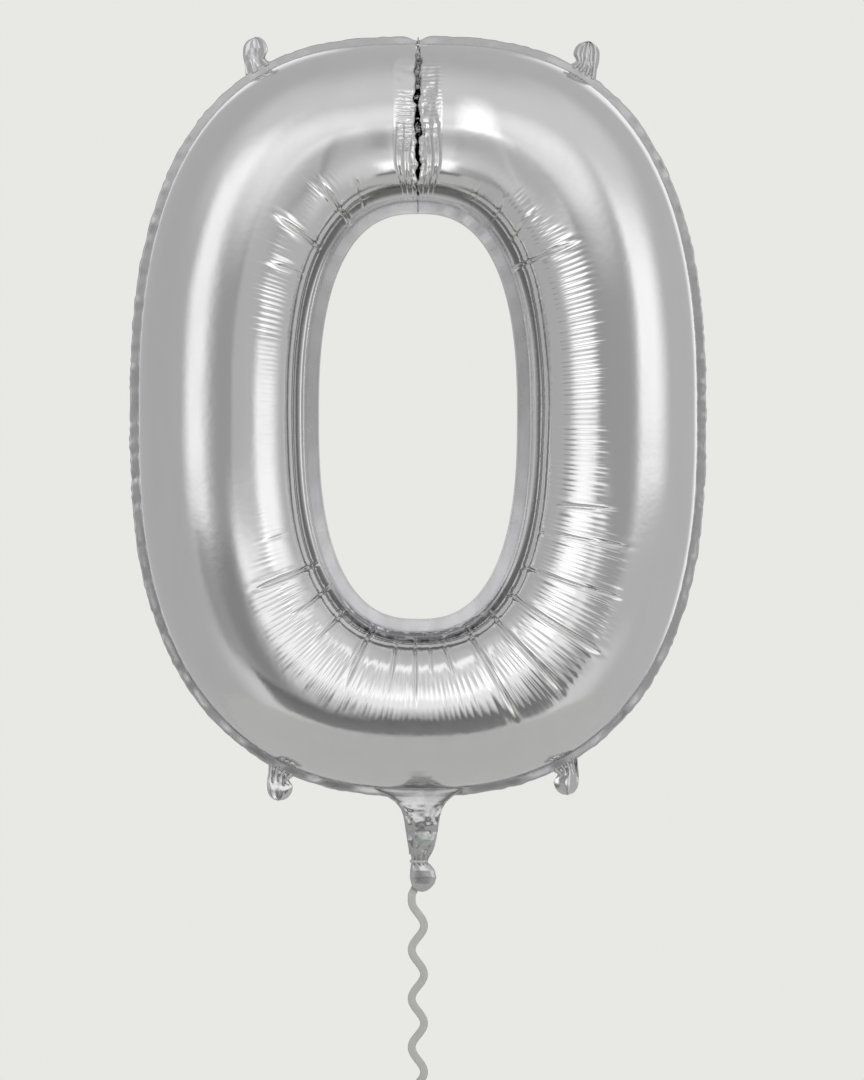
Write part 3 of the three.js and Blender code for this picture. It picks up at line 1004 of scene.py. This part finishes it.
def feathered(tree, across, up, x, z, feather):
    """1 inside a soft-edged box of x and z, 0 outside it, as nodes."""
    glow = None
    ends = ((across, x[0], feather[0]), (across, x[1], -feather[1]),
            (up, z[0], feather[2]), (up, z[1], -feather[3]))
    for value, end, width in ends:
        fade = add(tree, "ShaderNodeMapRange",
                   {"interpolation_type": "SMOOTHSTEP"}, Value=value,
                   From_Min=end - width / 2, From_Max=end + width / 2)
        glow = fade if glow is None else add(
            tree, "ShaderNodeMath", {"operation": "MULTIPLY"},
            in0=(glow, 0), in1=(fade, 0))
    return glow


# %% [markdown]
# Aluminised nylon film: a few hundredths of a millimetre of nylon with
# aluminium vapour laid on it. It is a real metal mirror, a little grey, and
# its plastic side scatters the reflection slightly. Faint rolling streaks run
# through the sheet, and the film has an orange-peel quiver some millimetres
# wide that only shows where the light grazes it. Where heat or handling has
# crazed the film it is duller, so three mixes of it are made.

# %% Aluminised film
STREAK_SIZE, STREAKS_STRETCH = 0.022, 0.25


def aluminised_film(name, base, dark, roughness, quiver_size, quiver):
    """A metal mirror of two close greys with a quiver of a size and depth."""
    material, tree, shader = new_material(name)
    where = add(tree, "ShaderNodeTexCoord")
    streaks = add(tree, "ShaderNodeMapping", Vector=(where, "Object"),
                  Scale=(1.0, 1.0, STREAKS_STRETCH))
    cloud = add(tree, "ShaderNodeTexNoise", Vector=(streaks, "Vector"),
                Scale=1 / STREAK_SIZE, Detail=3.0)
    tint = add(tree, "ShaderNodeMix", {"data_type": "RGBA"},
               Factor=(cloud, "Fac"), in6=linear(base), in7=linear(dark))
    spread_of = add(tree, "ShaderNodeMapRange", Value=(cloud, "Fac"),
                    From_Min=0.35, From_Max=0.65,
                    To_Min=roughness * 0.85, To_Max=roughness * 1.2)
    peel = add(tree, "ShaderNodeTexNoise", Vector=(where, "Object"),
               Scale=1 / quiver_size, Detail=1.0)
    bump = add(tree, "ShaderNodeBump", Height=(peel, "Fac"),
               Strength=0.25, Distance=quiver)
    tree.links.new(tint.outputs[2], shader.inputs["Base Color"])
    tree.links.new(spread_of.outputs["Result"], shader.inputs["Roughness"])
    tree.links.new(bump.outputs["Normal"], shader.inputs["Normal"])
    shader.inputs["Metallic"].default_value = 1.0
    return material


foil_metal = aluminised_film(
    "aluminised nylon film", "#E4E4E4", "#DEDEDE", 0.13, 0.009, 0.0003)
weld_metal = aluminised_film(
    "heat welded aluminised film", "#D0D0D1", "#C6C6C8", 0.30, 0.004, 0.0004)
tab_metal = aluminised_film(
    "creased aluminised film", "#DADADA", "#CFCFD0", 0.20, 0.005, 0.0004)
print("film of the lobes:", foil_metal.name)

# %% [markdown]
# Below the hole the slack film is bunched against the border, and that fold is
# dark, because its walls only reflect each other. That shade is painted into
# the film's colour: a band of a darker grey that follows the rounded oblong of
# the hole, with a ragged edge, which fades out on the way up.

# %% Painted shade of the dark fold below the hole
FOLD_FROM_HOLE, FOLD_PAINTED_SHADE, FOLD_RAGGED, RAGGED_SIZE = 0.0185, 0.8, 0.035, 0.009
tree = foil_metal.node_tree
shader = tree.nodes["Principled BSDF"]
where = next(n for n in tree.nodes if n.type == "TEX_COORD")
parts = add(tree, "ShaderNodeSeparateXYZ", Vector=(where, "Object"))
terms = []
for axis, half in (("X", HOLE_HALF_WIDTH), ("Z", HOLE_HALF_HEIGHT)):
    share = add(tree, "ShaderNodeMath", {"operation": "MULTIPLY"},
                in0=(parts, axis), in1=1 / (half + FOLD_FROM_HOLE))
    share = add(tree, "ShaderNodeMath", {"operation": "ABSOLUTE"},
                in0=(share, 0))
    terms.append(add(tree, "ShaderNodeMath", {"operation": "POWER"},
                     in0=(share, 0), in1=HOLE_SQUARENESS))
around = add(tree, "ShaderNodeMath", {"operation": "ADD"},
             in0=(terms[0], 0), in1=(terms[1], 0))
ragged = add(tree, "ShaderNodeTexNoise", Vector=(where, "Object"),
             Scale=1 / RAGGED_SIZE, Detail=1.0)
ragged_by = add(tree, "ShaderNodeMapRange", Value=(ragged, "Fac"),
                From_Min=0.3, From_Max=0.7, To_Min=-FOLD_RAGGED,
                To_Max=FOLD_RAGGED)
around = add(tree, "ShaderNodeMath", {"operation": "ADD"}, in0=(around, 0),
             in1=(ragged_by, 0))
fold = feathered(tree, (around, 0), (parts, "Z"), (0.955, 1.045),
                 (-0.40, -0.205), (0.04, 0.05, 0.05, 0.05))
# Painted shade: inside the band the film's base colour is mixed towards a dark
# grey.
painted_shade = add(tree, "ShaderNodeMath", {"operation": "MULTIPLY"},
               in0=(fold, 0), in1=FOLD_PAINTED_SHADE)
plain_film = shader.inputs["Base Color"].links[0].from_socket
film_with_painted_shade = add(tree, "ShaderNodeMix", {"data_type": "RGBA"},
             Factor=(painted_shade, 0), in7=linear("#4A4A54"))
tree.links.new(plain_film, film_with_painted_shade.inputs[6])
tree.links.new(film_with_painted_shade.outputs[2], shader.inputs["Base Color"])

# %% [markdown]
# The pulled ends beside the top weld have fine cross ripples, 4.6 mm apart.
# They are too shallow for the mesh, so they are bump, in two soft-edged
# patches. A wave texture has 20 / (2 pi) bands in a unit at a scale of 1.

# %% Ripples beside the top weld
RIPPLE_SPACING, RIPPLE_DEPTH = 0.0046, 0.0007
RIPPLE_PATCHES = (
    # x range, z range
    ((0.0040, 0.0250), (0.3330, 0.3930)),
    ((-0.0230, -0.0050), (0.3050, 0.3600)),
)
smooth = next(n for n in tree.nodes if n.type == "BUMP")
bands = add(tree, "ShaderNodeTexWave", {"bands_direction": "Z"},
            Vector=(where, "Object"), Scale=math.tau / 20 / RIPPLE_SPACING,
            Distortion=2.2, Detail=1.0, Detail_Scale=2.0)
for x, z in RIPPLE_PATCHES:
    patch = feathered(tree, (parts, "X"), (parts, "Z"), x, z,
                      (0.008, 0.010, 0.04, 0.008))
    height = add(tree, "ShaderNodeMath", {"operation": "MULTIPLY"},
                 in0=(bands, "Fac"), in1=(patch, 0))
    ripple = add(tree, "ShaderNodeBump", Height=(height, 0), Strength=0.5,
                 Distance=RIPPLE_DEPTH, Normal=(smooth, "Normal"))
    smooth = ripple
tree.links.new(smooth.outputs["Normal"], shader.inputs["Normal"])

# %% Film on the pieces
for metal, pieces in (
        (foil_metal, (front_foil, rear_foil)),
        (weld_metal, (hole_border, outer_border, cross_weld, tail_end)),
        (tab_metal, tabs)):
    for piece in pieces:
        wear(piece, metal)
    print(metal.name, "on", len(pieces), "pieces")

# %% [markdown]
# The tail's film carries the pressed oval: there the two films and the valve
# are fused, so the metal looks milky and faintly green. It is the same film
# with the oval mixed in by its distance from the mark's middle.

# %% Tail film with its pressed mark
MARK_AT, MARK_HALF = (0.0055, -0.0060, -0.4785), (0.0090, 0.0065)
MARK_MIX, MARK_METAL = 0.8, 0.35
tail_metal = aluminised_film(
    "creased film with a pressed seal", "#CCCCCC", "#B8B8B8", 0.26, 0.004,
    0.0005)
tree = tail_metal.node_tree
shader = tree.nodes["Principled BSDF"]
where = add(tree, "ShaderNodeTexCoord")
centred = add(tree, "ShaderNodeMapping", {"vector_type": "TEXTURE"},
              Vector=(where, "Object"), Location=MARK_AT,
              Scale=(MARK_HALF[0], 1.0, MARK_HALF[1]))
parts = add(tree, "ShaderNodeSeparateXYZ", Vector=(centred, "Vector"))
flat_place = add(tree, "ShaderNodeCombineXYZ", X=(parts, "X"), Z=(parts, "Z"))
far = add(tree, "ShaderNodeVectorMath", {"operation": "LENGTH"},
          in0=(flat_place, "Vector"))
ring = add(tree, "ShaderNodeMapRange", Value=(far, "Value"), From_Min=1.05,
           From_Max=0.95, To_Min=0.0, To_Max=MARK_MIX)
less_metal = add(tree, "ShaderNodeMapRange", Value=(ring, "Result"),
                 To_Min=1.0, To_Max=MARK_METAL)
tree.links.new(less_metal.outputs["Result"], shader.inputs["Metallic"])
old_colour = shader.inputs["Base Color"].links[0].from_socket
milky = add(tree, "ShaderNodeMix", {"data_type": "RGBA"},
            Factor=(ring, "Result"), in7=linear("#BCC6BF"))
tree.links.new(old_colour, milky.inputs[6])
tree.links.new(milky.outputs[2], shader.inputs["Base Color"])
wear(tail, tail_metal)

# %% [markdown]
# Curling ribbon is extruded polypropylene, printed silver grey: a plastic with
# a soft sheen and fine ribs along its length from the die. Real ribs are about
# half a millimetre apart, too fine to show here, so they are drawn as bump
# nearly 2 mm apart. The valve inside the balloon is two sheets of clear
# polyethylene, milky where they touch. Both plastics have a slight mottle.

# %% Mottled plastics
def mottled_plastic(name, base, dark, mottle_size, detail, roughness):
    """A plastic of two close colours, with its tree, shader and place."""
    material, tree, shader = new_material(name)
    where = add(tree, "ShaderNodeTexCoord")
    cloud = add(tree, "ShaderNodeTexNoise", Vector=(where, "Object"),
                Scale=1 / mottle_size, Detail=detail)
    tint = add(tree, "ShaderNodeMix", {"data_type": "RGBA"},
               Factor=(cloud, "Fac"), in6=linear(base), in7=linear(dark))
    tree.links.new(tint.outputs[2], shader.inputs["Base Color"])
    shader.inputs["Roughness"].default_value = roughness
    return material, tree, shader, where


# %% Ribbon and valve plastics
RIB_SPACING, RIB_DEPTH = 0.001885, 0.0001
ribbon_plastic, tree, shader, where = mottled_plastic(
    "printed polypropylene ribbon", "#D9D9D5", "#CFCFCB", 0.008, 3.0, 0.42)
ribs = add(tree, "ShaderNodeTexWave", {"bands_direction": "X"},
           Vector=(where, "Object"), Scale=math.tau / 20 / RIB_SPACING,
           Distortion=1.5)
bump = add(tree, "ShaderNodeBump", Height=(ribs, "Fac"), Strength=0.2,
           Distance=RIB_DEPTH)
tree.links.new(bump.outputs["Normal"], shader.inputs["Normal"])
for piece in (ribbon, tie, knot, end_knot, end_loop):
    wear(piece, ribbon_plastic)

valve_plastic, *_ = mottled_plastic(
    "polyethylene valve film", "#D6DAD6", "#C2C8C3", 0.012, 2.0, 0.35)
for node in ("valve_front_film", "valve_rear_film",
             "valve_inlet_front_film", "valve_inlet_rear_film"):
    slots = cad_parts[node].material_slots
    if slots:
        for each in slots:
            each.material = valve_plastic
    else:
        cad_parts[node].data.materials.append(valve_plastic)

# %% [markdown]
# The studio. A mirror shows its room, so the lights are what draws this
# balloon. The room is a pale grey with soft windows on both sides, at the
# front and behind. A few big soft boxes with feathered edges glow in front of
# the balloon, and dark cards give the metal its deep greys. The boxes add
# their light to what is behind them, the cards take some away, and the camera
# sees neither. The floor is a plain pale disc.

# %% Light of the room
ROOM_LEFT, ROOM_RIGHT = 0.50, 0.56
ROOM_GLOWS = (
    # what, azimuth range, height range, feathers, light; all in degrees
    ("left window", (-45, -19), (-3, 27), (16, 13, 8, 20), 0.62),
    ("right window", (32, 66), (-2, 20), (10, 26, 9, 22), 0.66),
    ("camera side", (-24, 26), (-20, 12), (10, 10, 10, 10), -0.14),
    ("ceiling", (-60, 75), (20, 62), (40, 40, 20, 50), 0.20),
    ("lit ground", (-48, 55), (-60, -22), (30, 30, 16, 16), 0.20),
    ("rear left door", (-174, -150), (-12, 40), (6, 14, 12, 24), 0.50),
    ("rear right door", (140, 168), (-12, 40), (14, 8, 12, 24), 0.55),
)
world = bpy.data.worlds.new("pale room")
bpy.context.scene.world = world
world.use_nodes = True
tree = world.node_tree
tree.nodes.clear()
way = add(tree, "ShaderNodeTexCoord")
parts = add(tree, "ShaderNodeSeparateXYZ", Vector=(way, "Generated"))
forward = add(tree, "ShaderNodeMath", {"operation": "MULTIPLY"},
              in0=(parts, "Y"), in1=-1.0)
around = add(tree, "ShaderNodeMath", {"operation": "ARCTAN2"},
             in0=(parts, "X"), in1=(forward, 0))
around = add(tree, "ShaderNodeMath", {"operation": "MULTIPLY"},
             in0=(around, 0), in1=180 / math.pi)
up = add(tree, "ShaderNodeMath", {"operation": "ARCSINE"}, in0=(parts, "Z"))
up = add(tree, "ShaderNodeMath", {"operation": "MULTIPLY"}, in0=(up, 0),
         in1=180 / math.pi)
level = add(tree, "ShaderNodeMapRange", Value=(parts, "X"), From_Min=-1.0,
            From_Max=1.0, To_Min=ROOM_LEFT, To_Max=ROOM_RIGHT)
for what, sideways, height, feather, light in ROOM_GLOWS:
    glow = feathered(tree, (around, 0), (up, 0), sideways, height, feather)
    glow = add(tree, "ShaderNodeMath", {"operation": "MULTIPLY",
                                        "label": what},
               in0=(glow, 0), in1=light)
    level = add(tree, "ShaderNodeMath", {"operation": "ADD"},
                in0=(level, 0), in1=(glow, 0))
room = add(tree, "ShaderNodeBackground", Color=(1, 1, 1, 1),
           Strength=(level, 0))
backdrop = add(tree, "ShaderNodeBackground", Color=linear("#E8E8E5"),
               Strength=1.0)
ray = add(tree, "ShaderNodeLightPath")
choice = add(tree, "ShaderNodeMixShader", in0=(ray, "Is Camera Ray"),
             in1=(room, "Background"), in2=(backdrop, "Background"))
add(tree, "ShaderNodeOutputWorld", Surface=(choice, "Shader"))
print("room lit by", len(ROOM_GLOWS), "glows")

# %% Floor
FLOOR_AT, FLOOR_RADIUS = -1.0, 1.0
maker = bmesh.new()
bmesh.ops.create_circle(maker, cap_ends=True, segments=128,
                        radius=FLOOR_RADIUS)
bmesh.ops.translate(maker, verts=maker.verts, vec=(0, 0, FLOOR_AT))
floor = finish_piece("floor", maker)
paint, tree, shader = new_material("pale floor paint")
shader.inputs["Base Color"].default_value = linear("#F2F2EF")
shader.inputs["Roughness"].default_value = 0.8
wear(floor, paint)


# %% Soft boxes and dark cards
def soft_panel(name, x, z, y, edge, strength, shade):
    """A box of light, or with shade below 1 a card that dims; x and z are
    (low, high), and edge is the width of the feathered rim."""
    maker = bmesh.new()
    bmesh.ops.create_grid(maker, x_segments=1, y_segments=1, size=0.5)
    for vert in maker.verts:
        vert.co = ((x[0] + x[1]) / 2 + vert.co.x * (x[1] - x[0] + edge), y,
                   (z[0] + z[1]) / 2 + vert.co.y * (z[1] - z[0] + edge))
    panel = finish_piece(name, maker, facing=False)
    material = bpy.data.materials.new(name)
    material.use_nodes = True
    tree = material.node_tree
    tree.nodes.clear()
    where = add(tree, "ShaderNodeTexCoord")
    parts = add(tree, "ShaderNodeSeparateXYZ", Vector=(where, "Object"))
    glow = feathered(tree, (parts, "X"), (parts, "Z"), x, z, (edge,) * 4)
    light = add(tree, "ShaderNodeMath", {"operation": "MULTIPLY"},
                in0=(glow, 0), in1=strength)
    dim = add(tree, "ShaderNodeMapRange", Value=(glow, 0), To_Min=1.0,
              To_Max=shade)
    shine = add(tree, "ShaderNodeEmission", Strength=(light, 0))
    clear = add(tree, "ShaderNodeBsdfTransparent", Color=(dim, "Result"))
    both = add(tree, "ShaderNodeAddShader", in0=(shine, 0), in1=(clear, 0))
    add(tree, "ShaderNodeOutputMaterial", Surface=(both, 0))
    wear(panel, material)
    panel.visible_camera = False
    panel.visible_shadow = False


PANELS = (
    # name, x range, z range, y, feather, light added, light let through
    ("middle_strip", (-0.14, 0.04), (-0.24, 0.34), -0.55, 0.08, 0.14, 1.0),
    ("low_box", (-0.22, 0.24), (-0.42, -0.10), -0.56, 0.14, 0.64, 1.0),
    ("high_box", (-0.32, 0.36), (0.25, 0.50), -0.54, 0.18, 0.50, 1.0),
    ("low_card", (-0.42, 0.40), (-0.66, -0.47), -0.52, 0.05, 0.0, 0.30),
    ("left_card", (-0.60, -0.24), (-0.50, -0.16), -0.51, 0.10, 0.0, 0.70),
    ("hole_card", (-0.085, 0.085), (-0.20, 0.20), 0.0, 0.04, 0.0, 0.30),
)
for panel in PANELS:
    soft_panel(*panel)
